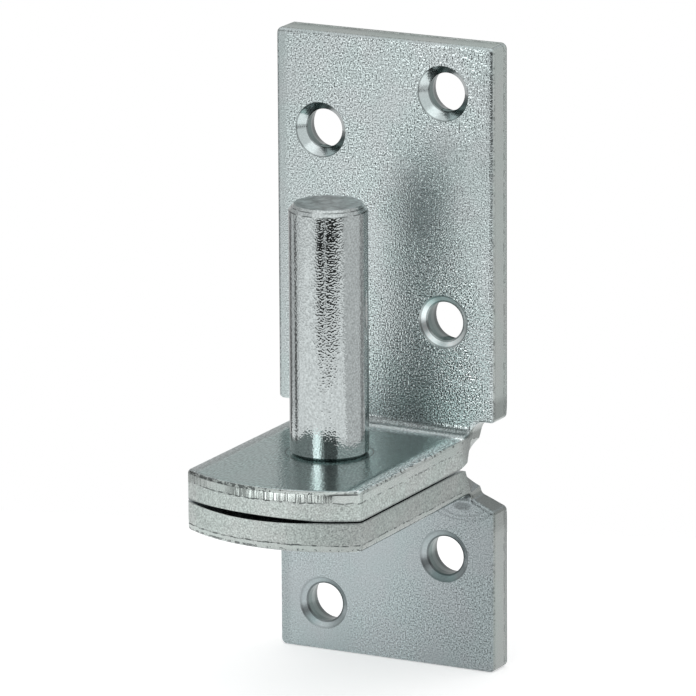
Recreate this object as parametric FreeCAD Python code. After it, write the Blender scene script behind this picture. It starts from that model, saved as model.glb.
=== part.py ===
import FreeCAD, Part
import math
import os

# Gate hinge pin on a screw-on plate, in millimetres.
# Two bracket plates of thick sheet are bent to an L and laid tab on tab.
# A turned pin stands on the upper tab and is riveted under the lower one.
# Origin: on the pin's axis, at the upper tab's top face. +Z is up the pin.
# The plates face -Y, and their rear faces lie against the post.

V = FreeCAD.Vector

# Sheet of the two brackets
sheet = 5.0
bend_inner = 1.5
bend_outer = 9.8
edge_roll = 0.7
plate_width = 40.0
upper_height = 70.4
lower_height = 35.2
pin_to_back = 25.0

# Tabs: their front edge is an arc, furthest out ahead of the pin
tab_reach = 24.5
tab_front_radius = 28.0
tab_gap = 0.3
hollow_depth = 0.33
hollow_side = 3.0
hollow_inset = 0.4

# Corners of the blank: how far their radii exceed that of the rolled edge
plate_corner_extra = 0.3
tab_corner_extra = 0.5
shoulder_corner_extra = 0.05

# Neck between plate and tab, drawn in on the outside of the bend
shoulder_width = 4.1
upper_shoulder_rise = 0.7
lower_shoulder_rise = 1.1
lower_root_rise = 0.6
root_clearance = 0.1
upper_waist = 0.9
lower_waist = 1.7
waist_clearance = 0.25
waist_flare = 60.0
waist_angle = 52.0

# Screw holes: outer ones measured from the plates' ends, others from the tabs' inner faces
hole_d = 6.5
hole_land = 1.2
hole_flare_d = 7.6
left_inset = 8.2
right_inset = 9.2
top_right_inset = 8.4
top_left_inset = 16.6
mid_right_rise = 18.6
mid_left_rise = 10.4
low_right_drop = 11.1
low_left_inset = 8.2
deep_sink_d = 9.3
deep_sink = 1.6
flat_sink_d = 9.0
flat_sink = 0.8

# Pin, its shank and its riveted end
pin_d = 13.0
pin_height = 41.8
pin_top_bevel = 0.9
pin_top_bevel_height = 1.1
pin_foot_bevel = 0.5
seat_ledge = 1.5
shank_clearance = 0.05
rivet_ledge = 2.5
rivet_edge = 0.8
rivet_crown = 1.2

# Sizes that follow from those above
plate_front = pin_to_back - sheet
plate_corner = edge_roll + plate_corner_extra
tab_corner = edge_roll + tab_corner_extra
shoulder_corner = edge_roll + shoulder_corner_extra
waist_start = edge_roll + waist_clearance
upper_shoulder_z = bend_inner + upper_shoulder_rise
lower_shoulder_z = bend_inner + lower_shoulder_rise
half_plate = plate_width / 2
half_tab = half_plate - shoulder_width
half_hollow = half_tab - hollow_side - hollow_inset
left_x = left_inset - half_plate
right_x = half_plate - right_inset
lower_face_z = -(2 * sheet + tab_gap)
pin_r = pin_d / 2
shank_r = pin_r - seat_ledge
rivet_r = shank_r + rivet_ledge

# How far a cutter reaches past what it cuts, and how near counts as the same place
margin = 1.0
same = 0.01


def inner_point(degrees):
    """Point on the inside of the bend's side profile: 0 at the plate, 90 at the tab."""
    angle = math.radians(degrees)
    return V(0, plate_front - bend_inner * (1 - math.cos(angle)), bend_inner * (1 - math.sin(angle)))


def outer_point(degrees):
    """Point on the outside of the bend, where its wider radius thins the stretched sheet."""
    angle = math.radians(degrees)
    return V(0, pin_to_back - bend_outer * (1 - math.cos(angle)), bend_outer * (1 - math.sin(angle)) - sheet)


def bent_strip(height):
    """The L of sheet at the plate's full width, tab along -Y and plate along +Z."""
    front_y = -tab_reach - margin
    top_z = height - sheet
    inner_front = V(0, front_y, 0)
    outer_front = V(0, front_y, -sheet)
    front_top = V(0, plate_front, top_z)
    back_top = V(0, pin_to_back, top_z)
    edges = [
        Part.makeLine(inner_front, inner_point(90)),
        Part.Arc(inner_point(90), inner_point(45), inner_point(0)).toShape(),
        Part.makeLine(inner_point(0), front_top),
        Part.makeLine(front_top, back_top),
        Part.makeLine(back_top, outer_point(0)),
        Part.Arc(outer_point(0), outer_point(45), outer_point(90)).toShape(),
        Part.makeLine(outer_point(90), outer_front),
        Part.makeLine(outer_front, inner_front),
    ]
    strip = Part.Face(Part.Wire(edges)).extrude(V(plate_width, 0, 0))
    strip.translate(V(-half_plate, 0, 0))
    return strip


def rounded_outline(corners):
    """Closed wire of the front view through corners (x, z, radius), each rounded to its radius."""
    places = [V(x, 0, z) for x, z, radius in corners]
    edges = []
    last = None
    for index, place in enumerate(places):
        back = (places[index - 1] - place).normalize()
        ahead = (places[(index + 1) % len(places)] - place).normalize()
        half_turn = back.getAngle(ahead) / 2
        radius = corners[index][2]
        run = radius / math.tan(half_turn)
        middle = (back + ahead).normalize() * (radius / math.sin(half_turn) - radius)
        arc = [place + back * run, place + middle, place + ahead * run]
        if last:
            edges.append(Part.makeLine(last, arc[0]))
        if radius:
            edges.append(Part.Arc(*arc).toShape())
        last = arc[2]
    edges.append(Part.makeLine(last, edges[0].Vertexes[0].Point))
    return Part.Wire(edges)


def mirrored(shape):
    """The same shape on the other side of the pin."""
    return shape.mirror(V(0, 0, 0), V(1, 0, 0))


def front_outline(height, shoulder_z, root_rise):
    """Prism of the front view: the plate, its shoulders, the neck and the tab below it."""
    low_z = -sheet - margin
    top_z = height - sheet
    slope = math.atan2(shoulder_z - root_rise, shoulder_width)
    root = (root_rise - root_clearance) * math.tan(math.pi / 4 + slope / 2)
    right = [
        (half_tab, low_z, 0),
        (half_tab, root_rise, root),
        (half_plate, shoulder_z, shoulder_corner),
        (half_plate, top_z, plate_corner),
    ]
    left = [(-x, z, radius) for x, z, radius in reversed(right)]
    depth = pin_to_back + tab_reach + 4 * margin
    prism = Part.Face(rounded_outline(right + left)).extrude(V(0, depth, 0))
    prism.translate(V(0, -tab_reach - 2 * margin, 0))
    return prism


def tab_front_cutter():
    """What lies ahead of the arc of the tab's front edge."""
    low = V(-half_plate, -2 * tab_reach, -sheet - margin)
    box = Part.makeBox(plate_width, 1.5 * tab_reach, sheet + 2 * margin, low)
    centre = V(0, tab_front_radius - tab_reach, low.z)
    return box.cut(Part.makeCylinder(tab_front_radius, sheet + 2 * margin, centre))


def tab_corner_edges(solid):
    """Front corner edges of the tab, which run through the sheet along Z."""
    found = []
    for edge in solid.Edges:
        box = edge.BoundBox
        upright = box.XLength < same and box.YLength < same
        if upright and box.YMax < 0:
            found.append(edge)
    return found


def is_inner_face(face):
    """True on the tab's inner face, the inside of the bend and the plate's front."""
    box = face.BoundBox
    on_tab = abs(box.ZMin) < same and abs(box.ZMax) < same
    on_plate = abs(box.YMin - plate_front) < same and abs(box.YMax - plate_front) < same
    in_bend = False
    if isinstance(face.Surface, Part.Cylinder):
        across = abs(abs(face.Surface.Axis.x) - 1) < same
        in_bend = across and abs(face.Surface.Radius - bend_inner) < same
    return on_tab or on_plate or in_bend


def rolled_edges(solid):
    """The rim of the side that the blanking punch pressed on."""
    found = []
    for edge in solid.Edges:
        faces = solid.ancestorsOfType(edge, Part.Face)
        inner = [face for face in faces if is_inner_face(face)]
        if len(inner) == 1:
            found.append(edge)
    return found


def waist_cutter(waist):
    """Cone that draws the +X side of the neck in towards the outside of the bend."""
    inside = inner_point(waist_angle)
    outside = outer_point(waist_angle)
    across = (outside - inside).normalize()
    tip = inside + across * waist_start
    run = outside - tip
    flare = math.radians(waist_flare)
    lean = flare - math.atan2(waist, run.Length)
    axis = across * math.cos(lean) + V(math.sin(lean), 0, 0)
    length = 2 * sheet
    tip.x = half_tab
    return Part.makeCone(0, length * math.tan(flare), length, tip, axis)


def hollow_cutter():
    """Shallow hollow across the tab's outer face, deepest at its front edge and off to -X."""
    radius = (half_hollow ** 2 + hollow_depth ** 2) / (2 * hollow_depth)
    start = V(-hollow_side, -tab_reach, hollow_depth - sheet - radius)
    end = V(-hollow_side, 2 * shank_r, -sheet - radius)
    axis = end - start
    return Part.makeCylinder(radius, 2 * axis.Length, start - axis * 0.5, axis)


def screw_hole(x, z, sink_d, sink):
    """Countersunk punched hole: cone at the front, short land, flare to the rear."""
    sink_r = sink_d / 2
    land_r = hole_d / 2
    flare_r = hole_flare_d / 2
    cone_slope = (sink_r - land_r) / sink
    profile = [
        V(0, -margin, 0),
        V(sink_r + cone_slope * margin, -margin, 0),
        V(land_r, sink, 0),
        V(land_r, sink + hole_land, 0),
        V(flare_r, sheet, 0),
        V(flare_r, sheet + margin, 0),
        V(0, sheet + margin, 0),
    ]
    face = Part.Face(Part.makePolygon(profile + profile[:1]))
    hole = face.revolve(V(0, 0, 0), V(0, 1, 0), 360)
    hole.translate(V(x, plate_front, z))
    return hole


def bracket(height, shoulder_z, root_rise, waist, holes):
    """One bracket with its tab's inner face at z 0 and its plate upward."""
    body = bent_strip(height).common(front_outline(height, shoulder_z, root_rise))
    body = body.cut(tab_front_cutter()).Solids[0]
    body = body.makeFillet(tab_corner, tab_corner_edges(body))
    body = body.makeFillet(edge_roll, rolled_edges(body))
    neck = waist_cutter(waist)
    bore = Part.makeCylinder(shank_r + shank_clearance, sheet + 2 * margin, V(0, 0, -sheet - margin))
    cutters = [neck, mirrored(neck), hollow_cutter(), bore]
    cutters += [screw_hole(*hole) for hole in holes]
    for cutter in cutters:
        body = body.cut(cutter)
    return body.Solids[0]


def upper_bracket():
    """The tall bracket, which stands up from the pin's seat."""
    end = upper_height - sheet
    holes = [
        (left_x, end - top_left_inset, deep_sink_d, deep_sink),
        (right_x, end - top_right_inset, deep_sink_d, deep_sink),
        (left_x, mid_left_rise, flat_sink_d, flat_sink),
        (right_x, mid_right_rise, flat_sink_d, flat_sink),
    ]
    return bracket(upper_height, upper_shoulder_z, upper_shoulder_z, upper_waist, holes)


def lower_bracket():
    """The short bracket, upside down under the upper one."""
    end = lower_height - sheet
    holes = [
        (left_x, end - low_left_inset, flat_sink_d, flat_sink),
        (right_x, low_right_drop, flat_sink_d, flat_sink),
    ]
    shape = bracket(lower_height, lower_shoulder_z, lower_root_rise, lower_waist, holes)
    shape = shape.mirror(V(0, 0, 0), V(0, 0, 1))
    shape.translate(V(0, 0, lower_face_z))
    return shape


def hinge_pin():
    """Pin with a bevelled top, a shank through both tabs and a low riveted head."""
    rim = V(rivet_r, 0, lower_face_z - rivet_edge)
    crown = V(0, 0, rim.z - rivet_crown)
    crown_r = (rivet_r ** 2 + rivet_crown ** 2) / (2 * rivet_crown)
    half_angle = math.asin(rivet_r / crown_r) / 2
    middle = crown + V(crown_r * math.sin(half_angle), 0, crown_r * (1 - math.cos(half_angle)))
    outline = [
        V(0, 0, pin_height),
        V(pin_r - pin_top_bevel, 0, pin_height),
        V(pin_r, 0, pin_height - pin_top_bevel_height),
        V(pin_r, 0, pin_foot_bevel),
        V(pin_r - pin_foot_bevel, 0, 0),
        V(shank_r, 0, 0),
        V(shank_r, 0, lower_face_z),
        V(rivet_r, 0, lower_face_z),
        rim,
    ]
    edges = [Part.makeLine(*pair) for pair in zip(outline, outline[1:])]
    edges.append(Part.Arc(rim, middle, crown).toShape())
    edges.append(Part.makeLine(crown, outline[0]))
    return Part.Face(Part.Wire(edges)).revolve(V(0, 0, 0), V(0, 0, 1), 360)


os.makedirs("parts", exist_ok=True)
nodes = {
    "upper_bracket": upper_bracket(),
    "lower_bracket": lower_bracket(),
    "hinge_pin": hinge_pin(),
}
for name, shape in nodes.items():
    print(name, shape.ShapeType, "valid", shape.isValid(), "volume %.0f" % shape.Volume)
    shape.exportStep("parts/" + name + ".step")
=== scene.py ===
import math
from typing import NamedTuple

import bpy
from mathutils import Matrix, Vector


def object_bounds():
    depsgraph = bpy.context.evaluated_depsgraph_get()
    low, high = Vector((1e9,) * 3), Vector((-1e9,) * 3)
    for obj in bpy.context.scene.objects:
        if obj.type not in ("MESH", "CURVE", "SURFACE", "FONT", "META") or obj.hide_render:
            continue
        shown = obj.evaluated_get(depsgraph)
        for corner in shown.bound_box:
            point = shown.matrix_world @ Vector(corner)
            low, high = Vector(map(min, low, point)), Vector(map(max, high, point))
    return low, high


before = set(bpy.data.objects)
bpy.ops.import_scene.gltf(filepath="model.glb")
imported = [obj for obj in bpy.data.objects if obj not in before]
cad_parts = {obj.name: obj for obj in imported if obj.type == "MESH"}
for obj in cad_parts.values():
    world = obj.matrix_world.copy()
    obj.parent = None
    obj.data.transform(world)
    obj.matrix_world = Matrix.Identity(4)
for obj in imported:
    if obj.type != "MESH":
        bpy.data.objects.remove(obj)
cad_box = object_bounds()
MM = 0.001
FLOOR_Z = cad_box[0].z

# Places on the object in mm, with the pin's axis at x = y = 0
SHEET = 5.0
PLATE_FRONT = 20.0
UPPER_FACE = 0.0
LOWER_FACE = -10.3
PIN_TOP = 41.8
TAB_FLAT = 12.9
BEND_START = 14.9
FLAT_SINK = 0.8
DEEP_SINK = 1.6

# Bright zinc plating by face, with a painted shaded copy for the lower bracket and a painted highlight
# for the tab's rim, its faint changes of hue, and the dark of its pits and lines and of painted shade
# lines
ZINC = (0.49, 0.55, 0.55, 1)
ZINC_PIN = (0.46, 0.497, 0.497, 1)
ZINC_EDGE = (0.48, 0.525, 0.505, 1)
ZINC_TAB = (0.382, 0.485, 0.473, 1)
# painted shade: the lower bracket's plating is a darker copy of the zinc, as if shaded by the tab above
ZINC_LOW_SHADED = (0.39, 0.44, 0.45, 1)
# painted highlight: the bright band on the tab's rolled rim
ZINC_RIM_HIGHLIGHT = (0.70, 0.78, 0.78, 1)
HUE_WARM = (1.012, 0.994, 1.0, 1)
HUE_COOL = (0.985, 1.004, 1.0, 1)
# dark of the real pits, nicks and lines, also used for painted shade lines
PIT_AND_SHADE = (0.05, 0.06, 0.06, 1)
WHITE = (1, 1, 1, 1)
FLOOR_GREY = (0.85, 0.85, 0.85, 1)


class Graph:
    """A node tree with short calls: an input is a socket, a number or a tuple."""

    def __init__(self, tree):
        self.tree = tree
        self.tree.nodes.clear()

    def node(self, kind, inputs=None, **props):
        made = self.tree.nodes.new(kind)
        for name, value in props.items():
            setattr(made, name, value)
        for name, value in (inputs or {}).items():
            self.put(made.inputs[name], value)
        return made

    def put(self, socket, value):
        if isinstance(value, bpy.types.NodeSocket):
            self.tree.links.new(value, socket)
        else:
            socket.default_value = value

    def math(self, operation, a, b=0.0):
        return self.node("ShaderNodeMath", {0: a, 1: b}, operation=operation).outputs[0]

    def add(self, a, b):
        return self.math("ADD", a, b)

    def sub(self, a, b):
        return self.math("SUBTRACT", a, b)

    def mul(self, *factors):
        product = factors[0]
        for factor in factors[1:]:
            product = self.math("MULTIPLY", product, factor)
        return product

    def most(self, *values):
        largest = values[0]
        for value in values[1:]:
            largest = self.math("MAXIMUM", largest, value)
        return largest

    def size(self, value):
        return self.math("ABSOLUTE", value)

    def square(self, value):
        return self.math("POWER", value, 2.0)

    def distance(self, a, b):
        """Length of the diagonal over a and b."""
        return self.math("SQRT", self.add(self.square(a), self.square(b)))

    def line(self, value, start, slope):
        """A straight line: start where value is 0, then slope for each 1 of it."""
        return self.add(start, self.mul(value, slope))

    def swing(self, noise, *factors):
        """Noise about 0, times the factors."""
        return self.mul(self.sub(noise, 0.5), *factors)

    def rest(self, mask):
        """1 where the mask is 0."""
        return self.sub(1.0, mask)

    def step(self, value, low, high):
        """0 below low, 1 above high, smooth between; low may be the larger for a falling step."""
        made = self.node("ShaderNodeMapRange", {"Value": value}, interpolation_type="SMOOTHSTEP")
        ends = (high, low, 1.0, 0.0) if low > high else (low, high, 0.0, 1.0)
        for name, number in zip(("From Min", "From Max", "To Min", "To Max"), ends):
            made.inputs[name].default_value = number
        return made.outputs["Result"]

    def band(self, value, low, high, soft):
        """1 from low to high, fading out over soft on either side."""
        return self.mul(self.step(value, low - soft, low), self.step(value, high + soft, high))

    def bands(self, value, ranges):
        """1 in any of the bands."""
        return self.most(*(self.band(value, *limits) for limits in ranges))

    def blend(self, kind, factor, a, b):
        made = self.node("ShaderNodeMix", data_type="FLOAT" if kind == "Float" else "RGBA")
        for name, value in (("Factor_Float", factor), ("A_" + kind, a), ("B_" + kind, b)):
            self.put(next(s for s in made.inputs if s.identifier == name), value)
        return next(s for s in made.outputs if s.identifier == "Result_" + kind)

    def mix(self, factor, a, b):
        """Blend of two numbers."""
        return self.blend("Float", factor, a, b)

    def tint(self, factor, a, b):
        """Blend of two colours."""
        return self.blend("Color", factor, a, b)

    def layers(self, base, pairs):
        """The base number, with the number of each (mask, number) laid over it in turn."""
        for mask, number in pairs:
            base = self.mix(mask, base, number)
        return base

    def coats(self, base, pairs):
        """The base colour, with the colour of each (mask, colour) laid over it in turn."""
        for mask, colour in pairs:
            base = self.tint(mask, base, colour)
        return base

    def tones(self, pairs):
        """The product of the tones of each (mask, tone), where a tone is 1 outside its mask."""
        return self.mul(*(self.mix(mask, 1.0, tone) for mask, tone in pairs))

    def dim(self, colour, level):
        """The colour times a number."""
        made = self.node("ShaderNodeVectorMath", {"Scale": level}, operation="SCALE")
        self.put(made.inputs[0], colour if isinstance(colour, bpy.types.NodeSocket) else colour[:3])
        return made.outputs["Vector"]

    def times(self, a, b):
        """Two vectors or colours multiplied part by part."""
        return self.node("ShaderNodeVectorMath", {0: a, 1: b}, operation="MULTIPLY").outputs["Vector"]

    def dot(self, a, b):
        return self.node("ShaderNodeVectorMath", {0: a, 1: b}, operation="DOT_PRODUCT").outputs["Value"]

    def split(self, vector):
        made = self.node("ShaderNodeSeparateXYZ", {0: vector})
        return made.outputs[0], made.outputs[1], made.outputs[2]

    def noise(self, place, size, detail, rough=0.5, stretch=(1, 1, 1)):
        """Noise from 0 to 1 with features about size across, in the units of place."""
        moved = self.times(place, tuple(1 / (size * s) for s in stretch))
        inputs = {"Vector": moved, "Scale": 1.0, "Detail": detail, "Roughness": rough}
        return self.node("ShaderNodeTexNoise", inputs).outputs["Fac"]

    def bump(self, height, under=None):
        """Normal of a relief whose height is in mm."""
        made = self.node("ShaderNodeBump", {"Height": height, "Distance": MM, "Strength": 1.0})
        if under is not None:
            self.put(made.inputs["Normal"], under)
        return made.outputs["Normal"]

    def finish(self, kind, shader):
        """Output node of the given kind, fed by the shader's node."""
        self.node(kind, {"Surface": shader.outputs[0]})


def new_material(name):
    made = bpy.data.materials.new(name)
    made.use_nodes = True
    return made, Graph(made.node_tree)


def zinc(name, build):
    """Zinc plating: build(graph, place in mm, normal) gives colour, roughness and normal."""
    made, g = new_material(name)
    place = g.dim(g.node("ShaderNodeTexCoord").outputs["Object"], 1 / MM)
    facing = g.node("ShaderNodeNewGeometry").outputs["Normal"]
    colour, rough, normal = build(g, place, facing)
    inputs = {"Base Color": colour, "Roughness": rough, "Normal": normal, "Metallic": 1.0}
    g.finish("ShaderNodeOutputMaterial", g.node("ShaderNodeBsdfPrincipled", inputs))
    return made


# Ranges below say where a mask begins and where it is full, or from, to and softness of a band

# Parts of the normal on each face
FACING_PLATE = (-0.85, -0.97)
FACING_FRONT = (-0.45, -0.70)
FACING_FLAT = (0.90, 0.98)
FACING_INWARD = (0.2, 0.5)
FACING_END = (0.80, 0.95)
FACING_SIDE = (0.6, 0.9)
FACING_ROLL = (0.3, 0.5)
FACING_BEND = (0.25, 0.95, 0.05)
FACING_FORWARD = (0.0, -0.2)
HOLE_SLOPE = (0.95, 0.90)
HOLE_STEEP = (0.35, 0.25)

# Faces of the bent sheet in mm; an end face begins behind the plate's front
TAB_BEGINS = (18.5, 16.5)
PLATE_BEGINS = (15.0, 17.0)
FRONT_BEGINS = (5.0, 0.0)
END_BEGINS = (0.1, 0.6)
LEFT_RIM = (-17.4, -18.8)
RIGHT_SIDE = (-5.0, 20.0)
RIM_WIDTH = 2.4
RIM_GRAIN = (0.3, 1.5)
# where the painted highlight on the tab's rim begins and where it is full
RIM_HIGHLIGHT = (0.4, 2.2)
# painted reflection: a dark ring on the tab around the pin, where the pin's foot chamfer mirrors in it
FOOT_RING_REFLECTION = (7.15, 7.30, 0.10)
BEND_PLACE = (18.6, 19.9, 0.15)
BEND_STRIP = (0.1, 0.5)
# painted shade line where the bend runs out on the tab
BEND_SHADE_LINE = (0.07, 0.15, 0.05)
NECK_BACK = (15.0, 19.0)
NECK_HEIGHT = (-5.0, 5.0, 2.0)

# Screw holes in mm, with depths from the plate's front
HOLES_ACROSS = (17.2, 16.7)
HOLE_SPAN_SOFT = 0.5
HOLE_BEGINS = (0.0, 0.02)
# painted shade: an outline just inside each hole's rim, a line where the cone ends, and the hole's rear
# part
HOLE_SHADE_OUTLINE = (0.24, 0.14)
CONE_SHADE_LINE = (-0.16, 0.05, 0.04)
HOLE_REAR_SHADE = (3.3, 3.8)
DEEP_HOLES = (28.0, 36.0)
MIDDLE_HOLES = (8.0, 28.0, 4.0)

# Sheared edges in mm; a noise has its size, detail and roughness
PLATE_BURNISH = 3.9
WAVER_NOISE = (1.6, 2.0)
WAVER = 0.5
STRIP_ENDS = (0.05, -0.05)
BREAK_BEGINS = (-0.05, 0.05)
BREAK_LINE = (-0.08, 0.08, 0.06)
GAP_NOISE = (1.1, 2.0, 0.6)
GAP_RANGE = (0.46, 0.54)
STREAK_NOISE = (0.45, 2.0, 0.6)
DOWN_TAB_EDGE = (1, 1, 60)
THROUGH_PLATE = (1, 60, 1)

# Grain of the plating: its size in mm and its strength by place
PLATE_GRAIN = (0.25, 0.0)
TAB_GRAIN = (0.28, 0.0)
ALONG_TAB = (1, 3, 1)
PATCH_NOISE = (14.0, 1.0)
PATCH_RANGE = (0.35, 0.62)
GRAIN_ACROSS = (-4.0, 14.0)
GRAIN_UP = (28.0, 50.0)
LEFT_GRAIN = 0.9
RIGHT_GRAIN = (1.4, 0.9)
TAB_FACE_GRAIN = (0.26, 0.50)
GRAIN = {"elsewhere": 0.35, "tab_rim": 0.5, "bend": 0.5, "left_rim": 0.3, "smooth": 0.10, "break": 0.40}

# Relief: curvatures per mm, slopes, and places and heights in mm
DOME = -0.0040
RIM_DROOP = -0.16
BEND_RISE = 0.13
LEAN_SLOPE = 0.20
LEAN_STREAKS = 0.20
LEAN_LEFT = (-7.5, -4.0)
LEAN_LEFT_SHARE = 0.3
LEAN_RIGHT = (12.5, 10.5)
GRAIN_HEIGHT = 0.070
STREAK_HEIGHT = 0.012

# Colour and gloss of the brackets
SPECKLE = 2.8
CLOUD_NOISE = (5.0, 3.0)
CLOUD_BASE = 0.95
CLOUD_TONE = 0.10
HUE_NOISE = (7.0, 2.0)
HUE_RANGE = (0.38, 0.62)
# bend, lines and hole_wall are painted shade: in the bend's crease, on the bend's edge line and the
# pin's foot ring (a painted reflection), and in the hole walls
TONE = {"bend": 0.62, "lines": 0.45, "left_rim": 0.88, "end_face": 0.85, "hole_wall": 0.50}
# painted highlight: the screw holes' cones lighter, the middle ones most
CONE_HIGHLIGHT = 1.2
MIDDLE_CONE_HIGHLIGHT = 1.8
ROUGH = {"sheet": 0.19, "cloud": 0.10, "tab": 0.19, "smooth": 0.22, "break": 0.38}
FLAT_HOLE_ROUGH = 0.30
DEEP_HOLE_ROUGH = 0.14

# Dark marks and painted shade lines of the holes: how dark they are, and their places in mm
DARK = {
    "break_line": 0.75,
    "plate_nicks": 0.45,
    "tab_nicks": 0.8,
    "face": 0.5,
    "rear": 0.5,
    "hole_shade_lines": 0.65,
}
REAR_EDGE = (SHEET - 0.35, SHEET - 0.1)
NICK_NOISE = (0.6, 2.0, 0.7)
NICK_RANGE = (0.57, 0.62)
NICK_DEPTH = (0.10, 0.60, 0.1)
NICKED_FRONT = (-10.0, -14.0)
NICKED_LEFT = (4.0, -2.0)
MORE_AT_FRONT = 0.12
MORE_ON_PLATE = 0.04
PIT_NOISE = (0.8, 1.0)
PIT_RANGE = (0.78, 0.82)
SCRATCH_NOISE = (0.22, 1.0, 0.5)
SCRATCH_RANGE = (0.80, 0.86)
ACROSS_PLATE = (50, 1, 1)
MARK_FLATNESS = 0.42
MARK_DENT = (0.9, 0.4)
MARK_RIPPLES = ((1.6, 1.75, 0.2), (2.3, 2.4, 0.2))
MARK_FADE = 0.8
RIPPLE_SHARE = 0.4


class Bracket(NamedTuple):
    """What sets the looks of the two brackets apart, in mm and in shares of the colour."""

    inner_z: float  # height of the tab's inner face
    side: int  # where that face looks: 1 up, -1 down
    burnish: float  # depth of the burnished strip on the tab's edge
    face_colour: tuple
    face_grain: tuple  # weakest and strongest grain on the plate
    right_tone: float
    hole_span: tuple  # heights between which the screw holes lie
    plate_edge_tone: float
    neck_tone: float
    # painted shade outline at the rim of the holes
    hole_shade_outline: float  # how dark the outline of the holes is
    press_mark: tuple  # x and z of the press mark, empty for none


UPPER = Bracket(
    inner_z=UPPER_FACE,
    side=1,
    burnish=2.0,
    face_colour=ZINC,
    face_grain=(0.6, 1.15),
    right_tone=1.07,
    hole_span=(4.0, 62.0),
    plate_edge_tone=1.0,
    neck_tone=0.66,
    hole_shade_outline=0.6,
    press_mark=(),
)
LOWER = Bracket(
    inner_z=LOWER_FACE,
    side=-1,
    burnish=1.25,
    # painted shade: darker plating on the lower bracket, as if under the tab
    face_colour=ZINC_LOW_SHADED,
    face_grain=(0.16, 0.55),
    right_tone=0.74,
    hole_span=(-39.0, -14.0),
    plate_edge_tone=0.86,
    neck_tone=0.80,
    hole_shade_outline=0.25,
    press_mark=(14.2, -12.4),
)


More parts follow.
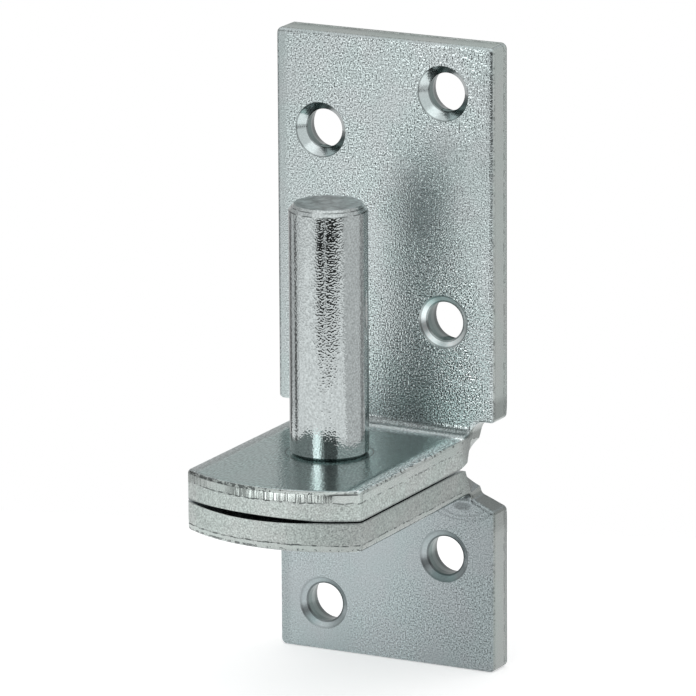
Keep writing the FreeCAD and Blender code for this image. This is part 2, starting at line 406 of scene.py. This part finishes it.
class BracketLook:
    """Plating of one bracket, worked out from the place and the normal on its bent sheet."""

    def __init__(self, bracket):
        self.bracket = bracket

    def build(self, g, place, facing):
        self.g = g
        self.place = place
        self.x, self.y, self.z = g.split(place)
        self.nx, self.ny, self.nz = g.split(facing)
        self.find_faces()
        self.find_bend()
        self.find_holes()
        self.find_edges()
        self.find_grain()
        self.cloud = g.noise(place, *CLOUD_NOISE)
        return self.colour(), self.roughness(), self.normal()

    def find_faces(self):
        """The sheet's faces; depth runs from the punch's side to the die's."""
        g = self.g
        self.on_tab = g.step(self.y, *TAB_BEGINS)
        self.inward = g.mul(self.nz, self.bracket.side)
        self.behind = g.sub(self.y, PLATE_FRONT)
        self.above = g.mul(g.sub(self.z, self.bracket.inner_z), self.bracket.side)
        self.depth = g.mix(self.on_tab, self.behind, g.mul(self.above, -1.0))
        self.plate_face = g.mul(g.step(self.ny, *FACING_PLATE), g.step(self.y, *PLATE_BEGINS))
        self.left_rim = g.mul(self.plate_face, g.step(self.x, *LEFT_RIM))
        self.end_face = g.mul(g.step(g.size(self.nz), *FACING_END), g.step(self.behind, *END_BEGINS))
        self.tab_face = g.mul(g.step(self.inward, *FACING_FLAT), self.on_tab)
        self.tab_top = g.mul(g.step(self.inward, *FACING_INWARD), self.on_tab)
        self.tab_front = g.mul(g.step(self.ny, *FACING_FRONT), g.step(self.y, *FRONT_BEGINS))
        past_flat = g.most(g.sub(g.size(self.x), TAB_FLAT), 0.0)
        self.tab_rim = g.mul(g.math("MINIMUM", past_flat, RIM_WIDTH), self.tab_top)
        # painted reflection: a dark ring on the tab around the pin's foot
        self.foot_ring_reflection = g.mul(self.tab_face, g.band(g.distance(self.x, self.y), *FOOT_RING_REFLECTION))

    def find_bend(self):
        """Inside of the bend, the strip where it runs out on the tab, and a painted shade line at that
        strip's edge.
        """
        g = self.g
        turned = g.band(g.size(self.nz), *FACING_BEND)
        forward = g.step(self.ny, *FACING_FORWARD)
        self.in_bend = g.mul(turned, g.band(self.y, *BEND_PLACE), forward)
        past_start = g.most(g.sub(self.y, BEND_START), 0.0)
        self.bend_foot = g.mul(past_start, g.step(self.inward, *FACING_FLAT))
        self.bend_strip = g.step(self.bend_foot, *BEND_STRIP)
        # painted shade line at the edge of the strip
        self.bend_shade_line = g.band(self.bend_foot, *BEND_SHADE_LINE)

    def find_holes(self):
        """Screw holes: a painted shade outline, cone, wall, and painted shade lines where the cone ends
        and at the rear.
        """
        g = self.g
        across = g.step(g.size(self.x), *HOLES_ACROSS)
        span = g.band(self.z, *self.bracket.hole_span, HOLE_SPAN_SOFT)
        slope = g.step(g.size(self.ny), *HOLE_SLOPE)
        self.in_hole = g.mul(across, span, slope, g.step(self.behind, *HOLE_BEGINS))
        self.hole_shade_outline = g.mul(self.in_hole, g.step(self.behind, *HOLE_SHADE_OUTLINE))
        self.hole_wall = g.mul(self.in_hole, g.step(g.size(self.ny), *HOLE_STEEP))
        self.hole_cone = g.sub(self.in_hole, self.hole_wall)
        self.deep_holes = g.step(self.z, *DEEP_HOLES)
        past_cone = g.sub(self.behind, g.mix(self.deep_holes, FLAT_SINK, DEEP_SINK))
        lines = g.most(g.band(past_cone, *CONE_SHADE_LINE), g.step(self.behind, *HOLE_REAR_SHADE))
        self.hole_shade_lines = g.mul(self.in_hole, lines)

    def find_edges(self):
        """Sheared edges: a burnished strip, a broken line, then the rough break."""
        g = self.g
        sides = g.step(g.size(self.nx), *FACING_SIDE)
        self.sheared = g.mul(g.most(sides, self.tab_front, self.end_face), g.rest(self.in_hole))
        self.rolled = g.mul(g.step(g.size(self.nx), *FACING_ROLL), g.rest(self.in_hole))
        self.neck = g.mul(self.sheared, g.step(self.y, *NECK_BACK), g.band(self.above, *NECK_HEIGHT))
        waver = g.swing(g.noise(self.place, *WAVER_NOISE), WAVER)
        burnish = g.mix(self.on_tab, PLATE_BURNISH, self.bracket.burnish)
        past_line = g.sub(g.add(self.depth, waver), burnish)
        self.smooth_strip = g.mul(self.sheared, g.step(past_line, *STRIP_ENDS))
        self.break_zone = g.mul(self.sheared, g.step(past_line, *BREAK_BEGINS))
        gaps = g.step(g.noise(self.place, *GAP_NOISE), *GAP_RANGE)
        self.break_line = g.mul(self.sheared, g.band(past_line, *BREAK_LINE), gaps)
        plate_streaks = g.noise(self.place, *STREAK_NOISE, stretch=THROUGH_PLATE)
        tab_streaks = g.noise(self.place, *STREAK_NOISE, stretch=DOWN_TAB_EDGE)
        self.streaks = g.mix(self.on_tab, plate_streaks, tab_streaks)

    def find_grain(self):
        """Grain of the plating, and its power on each face."""
        g = self.g
        tab_grain = g.noise(self.place, *TAB_GRAIN, stretch=ALONG_TAB)
        self.grain = g.mix(self.tab_top, g.noise(self.place, *PLATE_GRAIN), tab_grain)
        patch = g.step(g.noise(self.place, *PATCH_NOISE), *PATCH_RANGE)
        right_grain = g.mix(g.step(self.z, *GRAIN_UP), *RIGHT_GRAIN)
        share = g.mix(g.step(self.x, *GRAIN_ACROSS), LEFT_GRAIN, right_grain)
        self.power = g.layers(GRAIN["elsewhere"], [
            (self.plate_face, g.mul(g.mix(patch, *self.bracket.face_grain), share)),
            (self.tab_face, g.mix(patch, *TAB_FACE_GRAIN)),
            (g.step(self.tab_rim, *RIM_GRAIN), GRAIN["tab_rim"]),
            (g.most(self.in_bend, self.bend_strip), GRAIN["bend"]),
            (self.left_rim, GRAIN["left_rim"]),
            (g.most(self.smooth_strip, self.in_hole), GRAIN["smooth"]),
            (self.break_zone, GRAIN["break"]),
        ])

    def normal(self):
        """The slightly domed plate, soft tab sides, bend and leaning strip, with the grain on them."""
        g = self.g
        dome = g.mul(self.plate_face, g.square(self.x), DOME)
        lean_left = g.mix(g.step(self.x, *LEAN_LEFT), LEAN_LEFT_SHARE, 1.0)
        lean_place = g.mul(self.smooth_strip, self.tab_front, lean_left, g.step(self.x, *LEAN_RIGHT))
        lean = g.mul(lean_place, self.depth, g.line(self.streaks, LEAN_SLOPE, LEAN_STREAKS))
        droop = g.mul(g.square(self.tab_rim), RIM_DROOP)
        rise = g.mul(g.square(self.bend_foot), BEND_RISE)
        forms = g.bump(g.add(g.add(dome, lean), g.add(droop, rise)))
        grain = g.swing(self.grain, self.power, GRAIN_HEIGHT)
        streaks = g.mul(self.smooth_strip, self.streaks, STREAK_HEIGHT)
        return g.bump(g.add(grain, streaks), forms)

    def colour(self):
        g = self.g
        plating = g.coats(self.bracket.face_colour, [
            (self.tab_face, ZINC_TAB),
            (self.bend_strip, ZINC),
            # painted highlight along the tab's rolled rim
            (g.step(self.tab_rim, *RIM_HIGHLIGHT), ZINC_RIM_HIGHLIGHT),
            (self.sheared, ZINC_EDGE),
            (self.hole_wall, ZINC_TAB),
        ])
        hue = g.tint(g.step(g.noise(self.place, *HUE_NOISE), *HUE_RANGE), HUE_WARM, HUE_COOL)
        speckle = g.add(1.0, g.swing(self.grain, self.power, SPECKLE))
        cloud = g.line(self.cloud, CLOUD_BASE, CLOUD_TONE)
        clean = g.dim(g.times(plating, hue), g.mul(speckle, cloud, self.tone()))
        return g.tint(self.dark_marks(), clean, PIT_AND_SHADE)

    def tone(self):
        """How bright the plating is by face, with painted shade in the bend, on the bend's edge line
        and on the hole walls, a painted reflection ring around the pin's foot, and a painted highlight
        on the screw holes' cones.
        """
        g = self.g
        plate_edges = g.mul(self.sheared, g.rest(self.on_tab))
        # painted highlight on the cones
        cone_highlight = g.mix(g.band(self.z, *MIDDLE_HOLES), CONE_HIGHLIGHT, MIDDLE_CONE_HIGHLIGHT)
        return g.tones([
            # painted shade in the crease inside the bend
            (self.in_bend, TONE["bend"]),
            # painted shade line at the bend's edge, and the painted reflection ring around the pin's
            # foot
            (g.most(self.bend_shade_line, self.foot_ring_reflection), TONE["lines"]),
            (self.neck, self.bracket.neck_tone),
            (self.left_rim, TONE["left_rim"]),
            (self.end_face, TONE["end_face"]),
            (plate_edges, self.bracket.plate_edge_tone),
            # painted shade on the hole walls, deep in the recess
            (self.hole_wall, TONE["hole_wall"]),
            (self.hole_cone, cone_highlight),
            (g.step(self.x, *RIGHT_SIDE), self.bracket.right_tone),
        ])

    def dark_marks(self):
        """The darkest of the lines, nicks, marks and painted shade lines of the holes at each place."""
        g = self.g
        nick_dark = g.mix(self.on_tab, DARK["plate_nicks"], DARK["tab_nicks"])
        return g.most(
            g.mul(self.break_line, DARK["break_line"]),
            g.mul(self.nicks(), nick_dark),
            g.mul(self.face_marks(), DARK["face"]),
            g.mul(self.sheared, g.step(self.depth, *REAR_EDGE), DARK["rear"]),
            # painted shade at the holes' rims, where their cones end and at their rear
            g.mul(self.hole_shade_outline, self.bracket.hole_shade_outline),
            g.mul(self.hole_shade_lines, DARK["hole_shade_lines"]),
        )

    def nicks(self):
        """Nicks along the rolled edge, most of them at the left of the tab's front."""
        g = self.g
        front_left = g.mul(g.step(self.y, *NICKED_FRONT), g.step(self.x, *NICKED_LEFT), MORE_AT_FRONT)
        more = g.add(front_left, g.mul(g.rest(self.on_tab), MORE_ON_PLATE))
        noise = g.add(g.noise(self.place, *NICK_NOISE), more)
        edges = g.most(self.sheared, self.rolled, front_left)
        return g.mul(edges, g.band(self.depth, *NICK_DEPTH), g.step(noise, *NICK_RANGE))

    def face_marks(self):
        """Pits, scratches and the press mark on the plate's face."""
        g = self.g
        pits = g.step(g.noise(self.place, *PIT_NOISE), *PIT_RANGE)
        scratches = g.step(g.noise(self.place, *SCRATCH_NOISE, stretch=ACROSS_PLATE), *SCRATCH_RANGE)
        marks = [pits, scratches]
        if self.bracket.press_mark:
            marks.append(self.press_mark(*self.bracket.press_mark))
        return g.mul(self.plate_face, g.most(*marks))

    def press_mark(self, mark_x, mark_z):
        """Flat oval dent, with ripples below it."""
        g = self.g
        reach = g.distance(g.mul(g.sub(self.x, mark_x), MARK_FLATNESS), g.sub(self.z, mark_z))
        below = g.step(self.z, mark_z, mark_z - MARK_FADE)
        ripples = g.mul(g.bands(reach, MARK_RIPPLES), below, RIPPLE_SHARE)
        return g.most(g.step(reach, *MARK_DENT), ripples)

    def roughness(self):
        g = self.g
        return g.layers(g.line(self.cloud, ROUGH["sheet"], ROUGH["cloud"]), [
            (self.tab_face, ROUGH["tab"]),
            (self.smooth_strip, ROUGH["smooth"]),
            (self.in_hole, g.mix(self.deep_holes, FLAT_HOLE_ROUGH, DEEP_HOLE_ROUGH)),
            (self.break_zone, ROUGH["break"]),
        ])


# Turned pin: places and heights in mm, shares of its colour, and gloss
FACING_BEVEL = (0.4, 0.8, 0.1)
BEVEL_BEGINS = (PIN_TOP - 2.0, PIN_TOP - 1.2)
BEVEL_LINES = ((PIN_TOP - 0.48, PIN_TOP - 0.40, 0.05), (PIN_TOP - 1.08, PIN_TOP - 0.98, 0.05))
# painted shade lines low on the pin, at its foot's chamfer and where it meets the tab
FOOT_SHADE_LINES = ((-0.1, 0.14, 0.04), (0.42, 0.52, 0.05))
PIN_PATCH_NOISE = (6.0, 2.0)
PIN_PATCH_RANGE = (0.3, 0.6)
PIN_GRAIN = (0.30, 0.0)
PIN_GRAIN_HEIGHT = (0.015, 0.034)
PIN_GRAIN_UP = (10.0, 24.0)
PIN_FOOT_SHARE = 0.55
RING_NOISE = (0.25, 1.0, 0.5)
ROUND_PIN = (40, 40, 1)
RING_HEIGHT = 0.06
SCUFF_NOISE = (1.5, 4.0, 0.62)
SCUFF_HEIGHT = 0.08
WALL_SPECKLE = 0.7
TOP_SPECKLE = 2.4
TOP_TONE = 1.03
PIN_CLOUD_NOISE = (4.0, 2.0)
PIN_CLOUD_BASE = 0.94
PIN_CLOUD_TONE = 0.12
WALL_ROUGH = 0.03
WALL_CLOUD_ROUGH = 0.06
TOP_ROUGH = 0.34
PIN_GAP_NOISE = (1.6, 1.0)
PIN_GAP_RANGE = (0.36, 0.52)
BEVEL_LINE_DARK = 0.8
FOOT_SHADE_DARK = 0.6


def pin_look(g, place, facing):
    """Turned pin: a glossy wall with fine grain, rings on its bevel, a dull scuffed top, and painted
    shade lines at its foot.
    """
    z = g.split(place)[2]
    nz = g.split(facing)[2]
    top = g.step(nz, *FACING_FLAT)
    fine = g.noise(place, *PIN_GRAIN)
    scuffs = g.noise(place, *SCUFF_NOISE)
    cloud = g.noise(place, *PIN_CLOUD_NOISE)

    patch = g.step(g.noise(place, *PIN_PATCH_NOISE), *PIN_PATCH_RANGE)
    share = g.mix(g.step(z, *PIN_GRAIN_UP), PIN_FOOT_SHARE, 1.0)
    wall = g.swing(fine, g.mix(patch, *PIN_GRAIN_HEIGHT), share)
    bevel = g.mul(g.band(nz, *FACING_BEVEL), g.step(z, *BEVEL_BEGINS))
    rings = g.mul(bevel, g.noise(place, *RING_NOISE, stretch=ROUND_PIN), RING_HEIGHT)
    normal = g.bump(g.mix(top, g.add(wall, rings), g.mul(scuffs, SCUFF_HEIGHT)))

    speckle = g.add(1.0, g.swing(g.mix(top, fine, scuffs), g.mix(top, WALL_SPECKLE, TOP_SPECKLE)))
    level = g.mul(speckle, g.line(cloud, PIN_CLOUD_BASE, PIN_CLOUD_TONE), g.mix(top, 1.0, TOP_TONE))
    gaps = g.step(g.noise(place, *PIN_GAP_NOISE), *PIN_GAP_RANGE)
    bevel_lines = g.mul(g.bands(z, BEVEL_LINES), gaps, BEVEL_LINE_DARK)
    # painted shade at the pin's foot
    foot_shade_lines = g.mul(g.bands(z, FOOT_SHADE_LINES), FOOT_SHADE_DARK)
    colour = g.tint(g.most(bevel_lines, foot_shade_lines), g.dim(ZINC_PIN, level), PIT_AND_SHADE)
    rough = g.mix(top, g.line(cloud, WALL_ROUGH, WALL_CLOUD_ROUGH), TOP_ROUGH)
    return colour, rough, normal


def plate_nodes():
    """Gives each node of the part its plating."""
    looks = {
        "upper_bracket": zinc("upper_zinc", BracketLook(UPPER).build),
        "lower_bracket": zinc("lower_zinc", BracketLook(LOWER).build),
        "hinge_pin": zinc("pin_zinc", pin_look),
    }
    for name, look in looks.items():
        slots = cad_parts[name].data.materials
        for index in range(len(slots)):
            slots[index] = look


def place_in_scene(name, data):
    made = bpy.data.objects.new(name, data)
    bpy.context.scene.collection.objects.link(made)
    return made


# Camera of the photograph: angles in degrees, places in m
CAMERA_AZIMUTH = 27.472
CAMERA_ELEVATION = 14.151
CAMERA_ROLL = -0.319
CAMERA_DISTANCE = 1.258265
CAMERA_RIGHT = 0.003009
CAMERA_UP = 0.016995
FOCAL_PIXELS = 7694.884
PHOTO_PIXELS = 696
SENSOR_WIDTH = 36.0
CLIP = (0.05, 50.0)


def make_camera():
    """Camera at the photograph's viewing angle; gives the level direction towards it."""
    azimuth = math.radians(CAMERA_AZIMUTH)
    elevation = math.radians(CAMERA_ELEVATION)
    roll = math.radians(CAMERA_ROLL)
    level = Vector((math.sin(azimuth), -math.cos(azimuth), 0))
    back = level * math.cos(elevation) + Vector((0, 0, math.sin(elevation)))
    right = Vector((math.cos(azimuth), math.sin(azimuth), 0))
    up = back.cross(right)
    turned_right = right * math.cos(roll) + up * math.sin(roll)
    turned_up = up * math.cos(roll) - right * math.sin(roll)
    data = bpy.data.cameras.new("camera")
    data.sensor_width = SENSOR_WIDTH
    data.lens = FOCAL_PIXELS / PHOTO_PIXELS * SENSOR_WIDTH
    data.clip_start, data.clip_end = CLIP
    made = place_in_scene("camera", data)
    place = back * CAMERA_DISTANCE + turned_right * CAMERA_RIGHT + turned_up * CAMERA_UP
    turned = Matrix((turned_right, turned_up, back)).transposed().to_4x4()
    made.matrix_world = Matrix.Translation(place) @ turned
    bpy.context.scene.camera = made
    return level


# Table top: its front edge's turn in degrees, its reach from the pin and its cut back corners in m
FLOOR_TURN = -10
FLOOR_AHEAD = 0.262
FLOOR_BEHIND = 0.10
FLOOR_LEFT = 0.30
FLOOR_BACK_LEFT = 0.165
FLOOR_RIGHT = 0.30
FLOOR_BACK_RIGHT = 0.11
FLOOR_LEFT_CUT = (0.0, 0.03)
FLOOR_RIGHT_CUT = 0.04
FLOOR_GLOW = 0.44


def floor_look():
    """Pale matt table top that is white to the camera and in the metal."""
    made, g = new_material("floor")
    path = g.node("ShaderNodeLightPath").outputs
    seen = g.most(path["Is Camera Ray"], path["Is Glossy Ray"])
    glow = g.node("ShaderNodeEmission", {"Color": WHITE, "Strength": g.mul(seen, FLOOR_GLOW)})
    matt = g.node("ShaderNodeBsdfDiffuse", {"Color": FLOOR_GREY})
    both = g.node("ShaderNodeAddShader", {0: matt.outputs[0], 1: glow.outputs[0]})
    g.finish("ShaderNodeOutputMaterial", both)
    return made


def make_floor(toward, aside):
    """Table top with a straight front edge, which ends the dark streak low on the pin."""
    turn = math.radians(FLOOR_TURN)
    edge_way = toward * math.cos(turn) + aside * math.sin(turn)
    edge_side = Vector((-edge_way.y, edge_way.x, 0))
    corners = [
        (FLOOR_AHEAD, -FLOOR_LEFT),
        (FLOOR_AHEAD, FLOOR_RIGHT),
        (FLOOR_RIGHT_CUT, FLOOR_BACK_RIGHT),
        (-FLOOR_BEHIND, FLOOR_BACK_RIGHT),
        (-FLOOR_BEHIND, -FLOOR_BACK_LEFT),
        (FLOOR_LEFT_CUT[0], -FLOOR_BACK_LEFT),
        (FLOOR_LEFT_CUT[1], -FLOOR_LEFT),
    ]
    rim = [edge_way * ahead + edge_side * across for ahead, across in corners]
    mesh = bpy.data.meshes.new("floor")
    mesh.from_pydata([(p.x, p.y, FLOOR_Z) for p in rim], [], [tuple(range(len(rim)))])
    mesh.materials.append(floor_look())
    made = place_in_scene("floor", mesh)


# Studio: turn from the camera in degrees, positive to its right, and height as sine of elevation
SIDES_TURN = (-25, 40)
LEFT_WALL_TURN = (-35, -50)
LEFT_WALL_HEIGHT = (0.10, 0.45, 0.12)
BACK_TURN = (110, 145)
BACK_HEIGHT = (0.85, 0.6)
OVERHEAD_AHEAD = (0.05, 0.3)
OVERHEAD_HEIGHT = (0.70, 0.85)
LEFT_GAPS_TURN = ((-116, -108, 3), (-150, -138, 4))
LEFT_GAPS_HEIGHT = (0.25, 0.0)
CAMERA_GAP_TURN = (-15, 20, 6)
CAMERA_GAP_HEIGHT = (0.0, 0.34, 0.12)
LOW_TURN = (-30, 20, 9)
LOW_HEIGHT = (0.10, -0.06)
LOW_RIGHT_TURN = (20, 38, 9)
LOW_RIGHT_HEIGHT = (-0.10, -0.18)
RIGHT_GAP_TURN = (106, 116, 3)
RIGHT_GAP_HEIGHT = (0.15, 0.0)
SLIT_TURN = (-12, -8, 2)
LIGHT = {
    "left": 0.86,
    "right": 0.80,
    "left_wall": 0.51,
    "back": 0.60,
    "overhead": 1.3,
    "left_gaps": 0.18,
    "camera_gap": 0.12,
    "low": 0.03,
    "right_gap": 0.40,
    "slit": 0.80,
    "backdrop": 1.0,
}


def make_world(toward, aside):
    """White studio as the metal shows it, with dark gaps between its walls."""
    world = bpy.data.worlds.new("studio")
    bpy.context.scene.world = world
    world.use_nodes = True
    g = Graph(world.node_tree)
    way = g.node("ShaderNodeTexCoord").outputs["Generated"]
    height = g.split(way)[2]
    ahead = g.dot(way, tuple(toward))
    turn = g.math("DEGREES", g.math("ARCTAN2", g.dot(way, tuple(aside)), ahead))
    low = g.step(height, *LOW_HEIGHT)

    zones = [
        (g.step(turn, *LEFT_WALL_TURN), g.band(height, *LEFT_WALL_HEIGHT), LIGHT["left_wall"]),
        (g.step(g.size(turn), *BACK_TURN), g.step(height, *BACK_HEIGHT), LIGHT["back"]),
        (g.step(ahead, *OVERHEAD_AHEAD), g.step(height, *OVERHEAD_HEIGHT), LIGHT["overhead"]),
        (g.bands(turn, LEFT_GAPS_TURN), g.step(height, *LEFT_GAPS_HEIGHT), LIGHT["left_gaps"]),
        (g.band(turn, *CAMERA_GAP_TURN), g.band(height, *CAMERA_GAP_HEIGHT), LIGHT["camera_gap"]),
        (g.band(turn, *LOW_TURN), low, LIGHT["low"]),
        (g.band(turn, *LOW_RIGHT_TURN), g.step(height, *LOW_RIGHT_HEIGHT), LIGHT["low"]),
        (g.band(turn, *RIGHT_GAP_TURN), g.step(height, *RIGHT_GAP_HEIGHT), LIGHT["right_gap"]),
        (g.band(turn, *SLIT_TURN), low, LIGHT["slit"]),
    ]
    light = g.mix(g.step(turn, *SIDES_TURN), LIGHT["left"], LIGHT["right"])
    light = g.layers(light, [(g.mul(beside, above), level) for beside, above, level in zones])
    seen = g.node("ShaderNodeLightPath").outputs["Is Camera Ray"]
    light = g.mix(seen, light, LIGHT["backdrop"])
    glow = g.node("ShaderNodeBackground", {"Color": WHITE, "Strength": light})
    g.finish("ShaderNodeOutputWorld", glow)


# Soft box: place and size in m, power in W
LEFT_BOX_PLACE = (-0.130, -0.701, 0.232)
LEFT_BOX_SIZE = 0.28
LEFT_BOX_POWER = 0.54


def make_soft_box():
    """Square soft box in front, aimed at the pin's foot."""
    data = bpy.data.lights.new("left_box", "AREA")
    data.shape = "RECTANGLE"
    data.size = LEFT_BOX_SIZE
    data.size_y = LEFT_BOX_SIZE
    data.energy = LEFT_BOX_POWER
    made = place_in_scene("left_box", data)
    made.location = LEFT_BOX_PLACE
    made.rotation_euler = (-Vector(LEFT_BOX_PLACE)).to_track_quat("-Z", "Y").to_euler()


plate_nodes()
toward_camera = make_camera()
right_of_camera = Vector((-toward_camera.y, toward_camera.x, 0))
make_floor(toward_camera, right_of_camera)
make_world(toward_camera, right_of_camera)
make_soft_box()

bpy.context.scene.view_settings.view_transform = "Standard"
